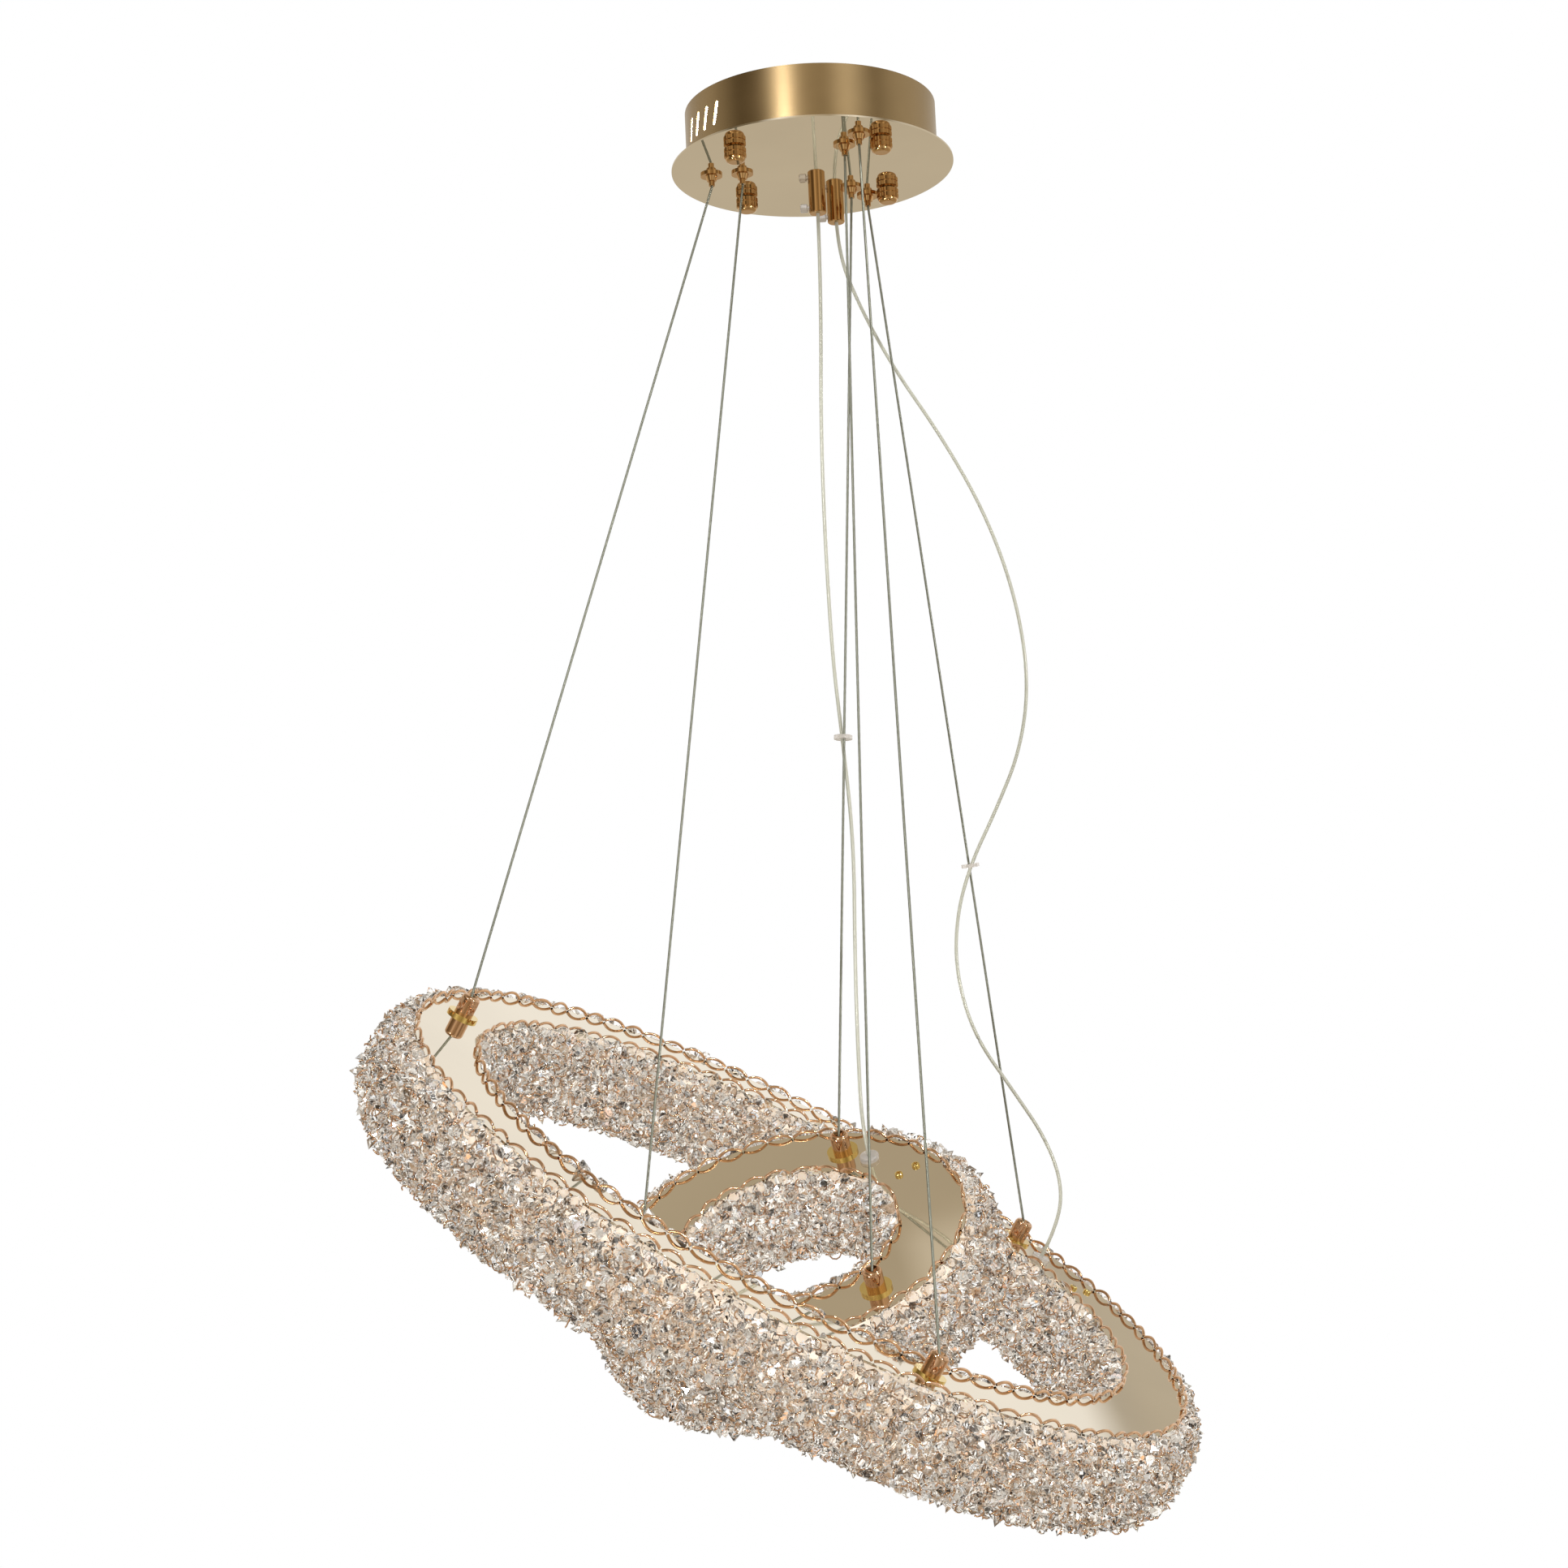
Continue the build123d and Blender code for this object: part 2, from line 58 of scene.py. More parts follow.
# %% [markdown]
# Sizes in metres and angles in degrees. Each ring is a flat band that leans its own way.
# Its centre, tilt, radius and posts are those of the solids, so that every new piece lies
# on its solid. The rings could each have their own code, but one dictionary per ring lets
# the same functions dress both. Posts and grommets are named by their angle on the ring,
# beads by their number in a row, and loops by their number along the outside and inside.

# %% Rings
BAND_WIDTH = 0.0465
HALF = BAND_WIDTH / 2
RINGS = {
    "outer": {
        "centre": (-0.0390, -0.0050, -0.7745), "tilt": 35.0, "azimuth": -27.1, "radius": 0.288,
        "posts": {"left": 172.2, "front": -67.8, "back": 52.2},
        "grommet": 45.5, "grommet_shift": -0.00575, "beads": 84, "loops": (100, 84),
    },
    "inner": {
        "centre": (-0.0493, -0.0146, -0.7957), "tilt": 38.8, "azimuth": -103.0, "radius": 0.1215,
        "posts": {"left": -171.6, "front": -51.6, "back": 68.4},
        "grommet": 54.5, "grommet_shift": -0.00325, "beads": 38, "loops": (42, 26),
    },
}


def ring_axes(ring):
    """Unit axes of a ring's plate: x follows the room's x, z is the tilted axis."""
    tilt, compass = math.radians(ring["tilt"]), math.radians(ring["azimuth"])
    z = np.array([math.sin(tilt) * math.cos(compass), math.sin(tilt) * math.sin(compass),
                  math.cos(tilt)])
    x = np.array([1.0, 0.0, 0.0]) - z[0] * z
    x /= np.linalg.norm(x)
    return np.stack([x, np.cross(z, x), z])


def on_ring(ring, local):
    """Room points of points in a ring's own axes: centre + local @ axes."""
    return np.asarray(ring["centre"]) + np.asarray(local) @ ring_axes(ring)


def polar(radius, degrees, height=0.0):
    """Points about an axis: (radius cos a, radius sin a, height)."""
    turn = np.radians(degrees)
    return np.stack(np.broadcast_arrays(radius * np.cos(turn), radius * np.sin(turn), height), -1)


for name, ring in RINGS.items():
    print(name, "axis", np.round(ring_axes(ring)[2], 3).tolist())

# %% [markdown]
# A material is a tree of nodes, and trees take many lines when each link is written out.
# These helpers each add one node, feed it with sockets or plain values, and give back its
# result, so that a material below reads like a formula.

# %% Helpers for node trees
FACTOR, COLOUR_A, COLOUR_B, COLOUR_RESULT = 0, 6, 7, 2


def feed(tree, value, socket):
    """Link a socket from another one, or set it to a plain value."""
    if isinstance(value, bpy.types.NodeSocket):
        tree.links.new(value, socket)
    else:
        socket.default_value = value


def set_inputs(node, values):
    """Set a node's sockets from a dictionary of names and plain values."""
    for label, value in values.items():
        node.inputs[label].default_value = value


def maths(tree, operation, *values):
    """The result of one Math node."""
    step = tree.nodes.new("ShaderNodeMath")
    step.operation = operation
    for value, socket in zip(values, step.inputs):
        feed(tree, value, socket)
    return step.outputs[0]


def mix_colours(tree, blend, factor, one, two):
    """Two colours joined by a Mix node, with a blend such as MIX, ADD or MULTIPLY."""
    step = tree.nodes.new("ShaderNodeMix")
    step.data_type = "RGBA"
    step.blend_type = blend
    for value, index in ((factor, FACTOR), (one, COLOUR_A), (two, COLOUR_B)):
        feed(tree, value, step.inputs[index])
    return step.outputs[COLOUR_RESULT]


def mix_shaders(tree, factor, one, two):
    """Two surfaces joined by a Mix Shader node: the first at factor 0, the second at 1."""
    step = tree.nodes.new("ShaderNodeMixShader")
    for value, socket in zip((factor, one, two), step.inputs):
        feed(tree, value, socket)
    return step.outputs[0]


def ramp(tree, value, stops):
    """The colour that a ramp gives for a value, from (position, (r, g, b)) stops."""
    tone = tree.nodes.new("ShaderNodeValToRGB")
    elements = tone.color_ramp.elements
    elements[0].position, elements[1].position = 0.0, 1.0
    for position, _ in stops[1:-1]:
        elements.new(position)
    for element, (_, shine) in zip(elements, stops):
        element.color = (*shine, 1.0)
    feed(tree, value, tone.inputs["Fac"])
    return tone.outputs["Color"]


print("helpers for node trees ready")

# %% [markdown]
# Plated metal is never quite even: its tint and polish drift a little over a sheet or a
# turned piece. Each metal could have its own noise, but one node group does it for all of
# them, with the amount and the scale as inputs. The group gives out only a colour and a
# value, and the surface itself stays in each material.

# %% Metals
TINT_SPREAD = 0.12


def new_group(name, inputs, outputs):
    """An empty node group with the named sockets, each (name, socket type)."""
    group = bpy.data.node_groups.new(name, "ShaderNodeTree")
    for label, kind in inputs:
        group.interface.new_socket(label, in_out="INPUT", socket_type=kind)
    for label, kind in outputs:
        group.interface.new_socket(label, in_out="OUTPUT", socket_type=kind)
    return group, group.nodes.new("NodeGroupInput"), group.nodes.new("NodeGroupOutput")


def plating_group():
    """Tint and roughness of plated metal: base values moved a little by a noise n.

    Roughness is r + spread (n - 1/2), and brightness is 1 + TINT_SPREAD (n - 1/2).
    """
    group, start, end = new_group(
        "Plating",
        [("Colour", "NodeSocketColor"), ("Roughness", "NodeSocketFloat"),
         ("Scale", "NodeSocketFloat"), ("Spread", "NodeSocketFloat")],
        [("Colour", "NodeSocketColor"), ("Roughness", "NodeSocketFloat")])
    place = group.nodes.new("ShaderNodeTexCoord")
    noise = group.nodes.new("ShaderNodeTexNoise")
    noise.inputs["Detail"].default_value = 3
    feed(group, place.outputs["Object"], noise.inputs["Vector"])
    feed(group, start.outputs["Scale"], noise.inputs["Scale"])
    shift = maths(group, "SUBTRACT", noise.outputs["Fac"], 0.5)
    tint = group.nodes.new("ShaderNodeHueSaturation")
    feed(group, maths(group, "MULTIPLY_ADD", shift, TINT_SPREAD, 1.0), tint.inputs["Value"])
    feed(group, start.outputs["Colour"], tint.inputs["Color"])
    feed(group, tint.outputs["Color"], end.inputs["Colour"])
    feed(group, maths(group, "MULTIPLY_ADD", shift, start.outputs["Spread"],
                      start.outputs["Roughness"]), end.inputs["Roughness"])
    return group


PLATING = plating_group()


def metal(name, colour, roughness, scale=60.0, spread=0.05):
    """A plated metal with slightly uneven tint and polish."""
    material = bpy.data.materials.new(name)
    material.use_nodes = True
    tree = material.node_tree
    surface = tree.nodes["Principled BSDF"]
    surface.inputs["Metallic"].default_value = 1.0
    finish = tree.nodes.new("ShaderNodeGroup")
    finish.node_tree = PLATING
    set_inputs(finish, {"Colour": (*colour, 1.0), "Roughness": roughness, "Scale": scale,
                        "Spread": spread})
    feed(tree, finish.outputs["Colour"], surface.inputs["Base Color"])
    feed(tree, finish.outputs["Roughness"], surface.inputs["Roughness"])
    return material


print("group", PLATING.name, len(PLATING.nodes), "nodes")

# %% [markdown]
# The drum is satin gold outside, and its vents look white, so its inside is taken to be
# lacquered white. A second mesh inside the drum could carry the white, but the drum is a
# finished solid. A mask on Object coordinates paints the same surface instead: white
# wherever a point is nearer the axis than the middle of the wall, and under the roof.
# The white there also glows: painted light, an emission that makes the inside look lit
# through the vents.

# %% White lacquer and painted glow in the drum
LACQUER = (0.95, 0.95, 0.95, 1.0)
# The lacquer's glow is painted light: the white inside glows so that it looks lit through the
# vents.
LACQUER_PAINTED_GLOW = 0.7
DRUM_INSIDE = 0.0884
DRUM_CEILING = -0.0008


def lacquer_and_painted_glow_inside(material, radius, top):
    """White lacquer with a painted glow over a metal where x^2 + y^2 < radius^2 and z < top."""
    tree = material.node_tree
    surface = tree.nodes["Principled BSDF"]
    place = tree.nodes.new("ShaderNodeTexCoord")
    split = tree.nodes.new("ShaderNodeSeparateXYZ")
    feed(tree, place.outputs["Object"], split.inputs[0])
    x, y, z = split.outputs
    square = maths(tree, "ADD", maths(tree, "MULTIPLY", x, x), maths(tree, "MULTIPLY", y, y))
    lacquer_and_glow_mask = maths(tree, "MULTIPLY", maths(tree, "LESS_THAN", square, radius ** 2),
                  maths(tree, "LESS_THAN", z, top))
    gold = surface.inputs["Base Color"].links[0].from_socket
    feed(tree, mix_colours(tree, "MIX", lacquer_and_glow_mask, gold, LACQUER), surface.inputs["Base Color"])
    feed(tree, maths(tree, "SUBTRACT", 1.0, lacquer_and_glow_mask), surface.inputs["Metallic"])
    feed(tree, lacquer_and_glow_mask, surface.inputs["Emission Color"])
    surface.inputs["Emission Strength"].default_value = LACQUER_PAINTED_GLOW


print("lacquer inside", DRUM_INSIDE, "m")

# %% [markdown]
# Cut crystal bends light so much that each facet shows a different small piece of the
# room. Tracing that through a deep heap of beads takes many samples and goes grey, so a
# ray is traced through the first facets only. Past them, each facet of each bead glows
# with a colour picked by chance: dark, rose gold, white or a flash. These are painted
# glints and painted shade, an emission that stands in for the room and the wire seen
# through the beads. A few beads also carry some mirror coating. Shadows are a pale tint,
# because glass passes most of the light on. The clear cord and the plastic use the same
# function without painted glints.

# %% Clear materials
COAT_ROUGHNESS = 0.02
FAR_SIDE = 1.5
SHADOW_TINT = (0.85, 0.85, 0.85, 1.0)


def clear(name, colour, ior, roughness=0.0, weight=1.0, mirror=None, painted_glints=None):
    """Clear glass or plastic, its shadow a pale tint.

    With mirror = (least, most), each separate bead has its own share of mirror coating.
    With painted glints, (share, colour) stops, rays deeper than FAR_SIDE see a chance pick
    of them per facet, by a white noise of the facet's normal and the bead's number: an
    emission, painted glints and painted shade in place of traced light.
    """
    material = bpy.data.materials.new(name)
    material.use_nodes = True
    tree = material.node_tree
    tree.nodes.clear()
    node = tree.nodes.new
    glass = node("ShaderNodeBsdfPrincipled")
    set_inputs(glass, {"Base Color": (*colour, 1.0), "Transmission Weight": weight,
                       "Roughness": roughness, "IOR": ior})
    body = glass.outputs[0]
    bead, path = node("ShaderNodeNewGeometry"), node("ShaderNodeLightPath")
    chance = bead.outputs["Random Per Island"]
    if mirror:
        share = node("ShaderNodeMapRange")
        set_inputs(share, {"To Min": mirror[0], "To Max": mirror[1]})
        feed(tree, chance, share.inputs["Value"])
        coat = node("ShaderNodeBsdfGlossy")
        set_inputs(coat, {"Color": (*colour, 1.0), "Roughness": COAT_ROUGHNESS})
        body = mix_shaders(tree, share.outputs["Result"], body, coat.outputs[0])
    # Painted glints and shade: past FAR_SIDE each facet glows with a chance colour from the stops,
    # in place of traced light.
    if painted_glints:
        facet = node("ShaderNodeTexWhiteNoise")
        facet.noise_dimensions = "4D"
        feed(tree, bead.outputs["True Normal"], facet.inputs["Vector"])
        feed(tree, chance, facet.inputs["W"])
        painted_glint = node("ShaderNodeEmission")
        feed(tree, ramp(tree, facet.outputs["Value"], painted_glints), painted_glint.inputs["Color"])
        crossed = maths(tree, "GREATER_THAN", path.outputs["Ray Depth"], FAR_SIDE)
        body = mix_shaders(tree, crossed, body, painted_glint.outputs[0])
    shadow = node("ShaderNodeBsdfTransparent")
    shadow.inputs["Color"].default_value = SHADOW_TINT
    out = node("ShaderNodeOutputMaterial")
    feed(tree, mix_shaders(tree, path.outputs["Is Shadow Ray"], body, shadow.outputs[0]),
         out.inputs["Surface"])
    return material


def plain(name, colour, roughness, specular=0.5, metallic=0.0, glow=0.0):
    """A plain moulded, painted or foiled surface, faintly lit from within by a painted glow."""
    material = bpy.data.materials.new(name)
    material.use_nodes = True
    tint = (*colour, 1.0)
    set_inputs(material.node_tree.nodes["Principled BSDF"], {
        "Base Color": tint, "Roughness": roughness, "Specular IOR Level": specular,
        "Metallic": metallic, "Emission Color": tint, "Emission Strength": glow})
    return material


print("clear and plain surfaces ready")

# %% [markdown]
# The finishes. The plates are mirror-polished champagne gold, the drum is satin gold of a
# deeper tone, nuts and bushes are bright gold, the wire posts and the strung wire are rose
# gold, and washers and screws are yellow brass. The beads deep in a garland are seen only
# through others, so they have a plain warm foil in place of glass, which is quicker and
# fills the gaps with light. Their faint glow, and the stronger glow of the opal, is painted
# light, an emission that makes them look lit from within. Every solid then gets the finish
# that its record names.

# %% Finishes
# Painted glints and painted shade: the chance colours that crystal facets glow with past the first
# facets.
PAINTED_GLINTS = (
    (0.00, (0.00, 0.00, 0.00)), (0.18, (0.03, 0.02, 0.02)), (0.28, (0.26, 0.17, 0.10)),
    (0.42, (0.52, 0.34, 0.20)), (0.52, (0.50, 0.45, 0.39)), (0.78, (0.74, 0.71, 0.65)),
    (0.90, (1.70, 1.66, 1.56)), (0.97, (0.75, 0.82, 0.92)), (1.00, (1.40, 0.70, 0.28)),
)
METALS = {
    "satin_gold": dict(colour=(0.36, 0.255, 0.13), roughness=0.25, scale=40.0),
    "mirror_gold": dict(colour=(0.80, 0.71, 0.56), roughness=0.03, scale=12.0, spread=0.02),
    "polished_gold": dict(colour=(0.58, 0.35, 0.15), roughness=0.03, spread=0.02),
    "rose_gold": dict(colour=(0.64, 0.40, 0.24), roughness=0.07),
    "brass": dict(colour=(0.80, 0.60, 0.22), roughness=0.10),
    "steel_wire": dict(colour=(0.24, 0.25, 0.21), roughness=0.4),
    "zinc_steel": dict(colour=(0.60, 0.60, 0.62), roughness=0.3),
    "channel_metal": dict(colour=(0.62, 0.50, 0.36), roughness=0.3),
    "strand_wire": dict(colour=(0.78, 0.50, 0.31), roughness=0.14),
    "cord_core": dict(colour=(0.50, 0.50, 0.46), roughness=0.35),
}
CLEARS = {
    "clear_cord": dict(colour=(0.72, 0.73, 0.65), ior=1.45, roughness=0.15, weight=0.45),
    "clear_plastic": dict(colour=(0.72, 0.69, 0.66), ior=1.5, roughness=0.08, weight=0.55),
    "crystal": dict(colour=(0.995, 0.98, 0.96), ior=1.6, mirror=(0.0, 0.15), painted_glints=PAINTED_GLINTS),
}
# The glow of inner_crystal and opal is painted light, an emission that makes them look lit from
# within.
PLAINS = {
    "inner_crystal": dict(colour=(0.90, 0.82, 0.73), roughness=0.04, specular=1.0, metallic=0.9,
                          glow=0.03),
    "opal": dict(colour=(0.86, 0.78, 0.68), roughness=0.5, glow=0.5),
    "led_strip": dict(colour=(0.85, 0.80, 0.62), roughness=0.6),
    "white_plastic": dict(colour=(0.86, 0.86, 0.85), roughness=0.5),
}
FINISH = {name: make(name, **values)
          for make, table in ((metal, METALS), (clear, CLEARS), (plain, PLAINS))
          for name, values in table.items()}
# White lacquer inside the drum, with a painted glow that makes it look lit.
lacquer_and_painted_glow_inside(FINISH["satin_gold"], DRUM_INSIDE, DRUM_CEILING)
for part in frame["record"]["subparts"]:
    mesh = nodes[part["node"]].data
    mesh.materials.clear()
    mesh.materials.append(FINISH[part["material_slot"]])
print("finishes", len(FINISH))

# %% [markdown]
# New pieces are meshes made from whole arrays. Placing thousands of separate objects would
# be slow, so one function puts an array of points and an array of faces into one mesh, and
# ties it to the body that it moves with.

# %% Meshes from arrays


def add_mesh(name, points, faces, material, body, slot, smooth=False):
    """One object at the origin from points and equal-sided faces, riding on a body."""
    points, faces = np.asarray(points, np.float32), np.asarray(faces, np.int32)
    mesh = bpy.data.meshes.new(name)
    mesh.vertices.add(len(points))
    mesh.vertices.foreach_set("co", points.ravel())
    count, sides = faces.shape
    mesh.loops.add(count * sides)
    mesh.loops.foreach_set("vertex_index", faces.ravel())
    mesh.polygons.add(count)
    mesh.polygons.foreach_set("loop_start", np.arange(count, dtype=np.int32) * sides)
    mesh.polygons.foreach_set("use_smooth", np.full(count, smooth))
    mesh.update(calc_edges=True)
    mesh.validate()
    mesh.materials.append(FINISH[material])
    thing = bpy.data.objects.new(name, mesh)
    bpy.context.scene.collection.objects.link(thing)
    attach(thing, body)
    print(name, count, "faces")
    return thing


print("mesh builder ready")

# %% [markdown]
# Wires, loops, ties and cords are all round tubes. Blender's curves could draw them, but a
# curve's section is always round. Here a circle is carried along each line, and it may
# have lobes that turn as it goes.

# %% Tubes
LOBE_DEPTH = 0.12
STEEP = 0.9


def tubes(lines, radius, sides=6, lobes=0, pitch=1.0):
    """Points and quads of round tubes along lines, an array (tubes, points, 3).

    With lobes, r(a) = radius (1 - LOBE_DEPTH (1 - |cos(lobes a / 2 + turn)|)), where turn
    grows by 2 pi every pitch metres, as the strands of a twisted wire do.
    """
    lines = np.asarray(lines, float)
    count, length = lines.shape[:2]
    along = np.gradient(lines, axis=1)
    along /= np.linalg.norm(along, axis=2, keepdims=True)
    guide = np.where(np.abs(along[..., 2:]) < STEEP, [0.0, 0.0, 1.0], [0.0, 1.0, 0.0])
    first = np.cross(along, guide)
    first /= np.linalg.norm(first, axis=2, keepdims=True)
    second = np.cross(along, first)
    angle = np.linspace(0, 2 * math.pi, sides, endpoint=False)
    step = np.linalg.norm(np.diff(lines, axis=1), axis=2)
    run = np.concatenate([np.zeros((count, 1)), step.cumsum(1)], axis=1)
    reach = np.full((count, length, sides), radius)
    if lobes:
        turn = 2 * math.pi * run[..., None] / pitch
        reach = radius * (1 - LOBE_DEPTH * (1 - np.abs(np.cos(lobes * angle / 2 + turn))))
    points = lines[:, :, None] + reach[..., None] * (
        np.cos(angle)[:, None] * first[:, :, None] + np.sin(angle)[:, None] * second[:, :, None])
    here = np.arange(sides)
    after = (here + 1) % sides
    ring = np.arange(length - 1)[:, None] * sides
    quad = np.stack([ring + here, ring + after, ring + sides + after, ring + sides + here], -1)
    base = np.arange(count)[:, None, None, None] * length * sides
    return points.reshape(-1, 3), (base + quad).reshape(-1, 4)


print("tubes ready")

# %% [markdown]
# A cut bead is a barrel of flat facets. It could be a sphere with a bevel, but four rings
# of points, each turned by half a step against the last, already give the triangles of a
# real cut. Long flat widths make a round bead and short steep ones a pointed one. A chip
# is the simplest cut of all, two pyramids base to base. Each shape has a few dozen faces,
# because it is repeated thousands of times.

# %% Cut beads


def bead_shape(heights, widths, sides=7):
    """Cut bead of diameter 1: rings of points at four heights, each turned half a step."""
    angle = np.linspace(0, 2 * math.pi, sides, endpoint=False)
    turn = angle + (np.arange(4)[:, None] % 2) * math.pi / sides
    widths, heights = np.array(widths)[:, None], np.array(heights)[:, None]
    rings = np.stack([widths * np.cos(turn), widths * np.sin(turn),
                      np.broadcast_to(heights, turn.shape)], -1)
    ends = [[0, 0, heights[0, 0]], [0, 0, heights[-1, 0]]]
    points = np.concatenate([rings.reshape(-1, 3), ends])
    here = np.arange(sides)
    after = (here + 1) % sides
    faces = [np.stack([np.full(sides, 4 * sides), after, here], -1),
             np.stack([np.full(sides, 4 * sides + 1), 3 * sides + here, 3 * sides + after], -1)]
    for k in range(3):
        low, high = k * sides, (k + 1) * sides
        if k % 2 == 0:
            faces.append(np.stack([low + here, low + after, high + here], -1))
            faces.append(np.stack([high + here, low + after, high + after], -1))
        else:
            faces.append(np.stack([low + here, high + after, high + here], -1))
            faces.append(np.stack([low + here, low + after, high + after], -1))
    return points, np.concatenate(faces)


def heap(shape, centres, sizes, spins):
    """Points and triangles of one bead per centre, scaled and turned by a 3x3 each."""
    points, faces = shape
    placed = np.einsum("nij,pj->npi", spins, points) * sizes[:, None, None] + centres[:, None]
    shifted = faces[None] + np.arange(len(centres))[:, None, None] * len(points)
    return placed.reshape(-1, 3), shifted.reshape(-1, 3)


def random_spins(count):
    """Random rotations from unit quaternions."""
    q = rng.normal(size=(count, 4))
    w, x, y, z = (q / np.linalg.norm(q, axis=1, keepdims=True)).T
    return np.stack([
        np.stack([1 - 2 * (y * y + z * z), 2 * (x * y - z * w), 2 * (x * z + y * w)], -1),
        np.stack([2 * (x * y + z * w), 1 - 2 * (x * x + z * z), 2 * (y * z - x * w)], -1),
        np.stack([2 * (x * z - y * w), 2 * (y * z + x * w), 1 - 2 * (x * x + y * y)], -1)], 1)


BALL = bead_shape((-0.46, -0.2, 0.2, 0.46), (0.2, 0.47, 0.47, 0.2))
BICONE = bead_shape((-0.62, -0.1, 0.1, 0.62), (0.05, 0.42, 0.42, 0.05), 6)
CHIP = (
    np.array([[0.4, 0, 0], [0, 0.4, 0], [-0.4, 0, 0], [0, -0.4, 0], [0, 0, 0.7], [0, 0, -0.7]]),
    np.array([[0, 1, 4], [1, 2, 4], [2, 3, 4], [3, 0, 4],
              [1, 0, 5], [2, 1, 5], [3, 2, 5], [0, 3, 5]]),
)
print("facets", [len(faces) for _, faces in (BALL, BICONE, CHIP)])

# %% [markdown]
# The crystals lie in staggered rows along a rounded U round the band: down the outer wall,
# under, and up the inner wall. As on the solids, a large bead sits at each point of the
# quilt and smaller ones lie in its grooves. Fine beads and chips fill the surface between
# them, and a core of plain beads closes the gaps. A particle system could scatter them,
# but rows with a little chance in size, place and turn look hand-strung, and stay put.

# %% Rows of crystals
BULGE = 0.020
DEPTH = 0.068
LIP = 0.008
LIP_ACROSS, LIP_DOWN = 0.5, 0.35
SHOULDER = 0.018
CORNER = 0.024
LEAST_BEND = 0.004
BEND_POINTS = 24
ROWS = 10
JITTER = 0.0014
ALONG = 0.25
LINES = np.linspace(0, 1, ROWS + 1)
MID_ROWS = (LINES[1:] + LINES[:-1]) / 2
FINE_ROWS = np.linspace(0.025, 0.975, 2 * ROWS)
CHIP_ROWS = np.linspace(0.02, 0.98, 26)
CORE_ROWS = np.linspace(0.085, 0.915, 2 * ROWS)
LAYERS = {
    "crown": dict(inset=0.0055, sizes=(0.0090, 0.0120), shares=MID_ROWS, per_bead=1, shift=0.0),
    "between": dict(inset=0.0075, sizes=(0.0075, 0.0105), shares=MID_ROWS, per_bead=1, shift=0.5),
    "groove": dict(inset=0.0085, sizes=(0.0080, 0.0115), shares=LINES, per_bead=2, shift=0.0),
    "fine": dict(inset=0.0048, sizes=(0.0060, 0.0085), shares=FINE_ROWS, per_bead=2, shift=0.25),
    "chip": dict(inset=0.0035, sizes=(0.0045, 0.0080), shares=CHIP_ROWS, per_bead=4, shift=0.25),
    "tie": dict(inset=0.0036, sizes=(0.0060, 0.0085), shares=FINE_ROWS, per_bead=3, shift=0.75),
    "core": dict(inset=0.0150, sizes=(0.0085, 0.0120), shares=CORE_ROWS, per_bead=2, shift=0.0),
}


def profile(inset, shares):
    """Points (across, height) at shares of the rounded U's length, inset from its outside."""
    side, low = HALF + BULGE - inset, DEPTH - inset
    bend = max(CORNER - inset, LEAST_BEND)
    sweep = np.linspace(0, math.pi / 2, BEND_POINTS)
    down = [(HALF + LIP - LIP_ACROSS * inset, -LIP_DOWN * inset), (side, -SHOULDER)]
    turn = np.stack([side - bend + bend * np.cos(sweep), -(low - bend) - bend * np.sin(sweep)], -1)
    outer = np.concatenate([down, turn])
    line = np.concatenate([outer, outer[::-1] * [-1, 1]])
    run = np.r_[0, np.linalg.norm(np.diff(line, axis=0), axis=1).cumsum()]
    at = np.asarray(shares) * run[-1]
    return np.stack([np.interp(at, run, line[:, 0]), np.interp(at, run, line[:, 1])], -1)


def bead_layer(ring, layer):
    """Centres and sizes of one layer: rows along the profile, every other row staggered."""
    kind = LAYERS[layer]
    count = kind["per_bead"] * ring["beads"]
    centres, widths = [], []
    for row, (across, height) in enumerate(profile(kind["inset"], kind["shares"])):
        stagger = kind["shift"] + 0.5 * (row % 2)
        angle = 360 / count * (np.arange(count) + stagger + rng.uniform(-ALONG, ALONG, count))
        shift = rng.normal(0, JITTER, (2, count))
        reach = ring["radius"] - HALF + across + shift[0]
        centres.append(polar(reach, angle, height + shift[1]))
        widths.append(rng.uniform(*kind["sizes"], count))
    return on_ring(ring, np.concatenate(centres)), np.concatenate(widths)


print("layers", {name: len(kind["shares"]) for name, kind in LAYERS.items()})

# %% [markdown]
# Both garlands, one piece per cut. A little over half of the large beads are pointed and
# the rest are round, as on the real strings. Each garland stands in for its solid.

# %% Crystals
POINTED_SHARE = 0.6
POINTED_SCALE = 1.1

for name, ring in RINGS.items():
    face = [bead_layer(ring, layer) for layer in ("crown", "between", "groove")]
    centres, widths = (np.concatenate(both) for both in zip(*face))
    pointed = rng.random(len(centres)) < POINTED_SHARE
    beads = {
        "pointed": (BICONE, centres[pointed], POINTED_SCALE * widths[pointed], "crystal"),
        "round": (BALL, centres[~pointed], widths[~pointed], "crystal"),
        "fine": (BICONE, *bead_layer(ring, "fine"), "crystal"),
        "chips": (CHIP, *bead_layer(ring, "chip"), "crystal"),
        "core": (BALL, *bead_layer(ring, "core"), "inner_crystal"),
    }
    for cut, (shape, middles, sizes, finish) in beads.items():
        mesh = heap(shape, middles, sizes, random_spins(len(middles)))
        piece = add_mesh(f"{name}_crystals_{cut}", *mesh, finish, f"{name}_ring", "crystal")
        if cut == "round":
            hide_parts(f"{name}_crystal_garland")

# %% [markdown]
# Rose-gold wire. Along both edges of each plate the wire stands up in small arches, and
# the mirror doubles each arch into an eye. Among the crystals the wire shows as short
# hoops that tie the beads. One long wire wound round the ring would be truer to the
# stringing, but it reads as a coil, while on the real one only short bends show.

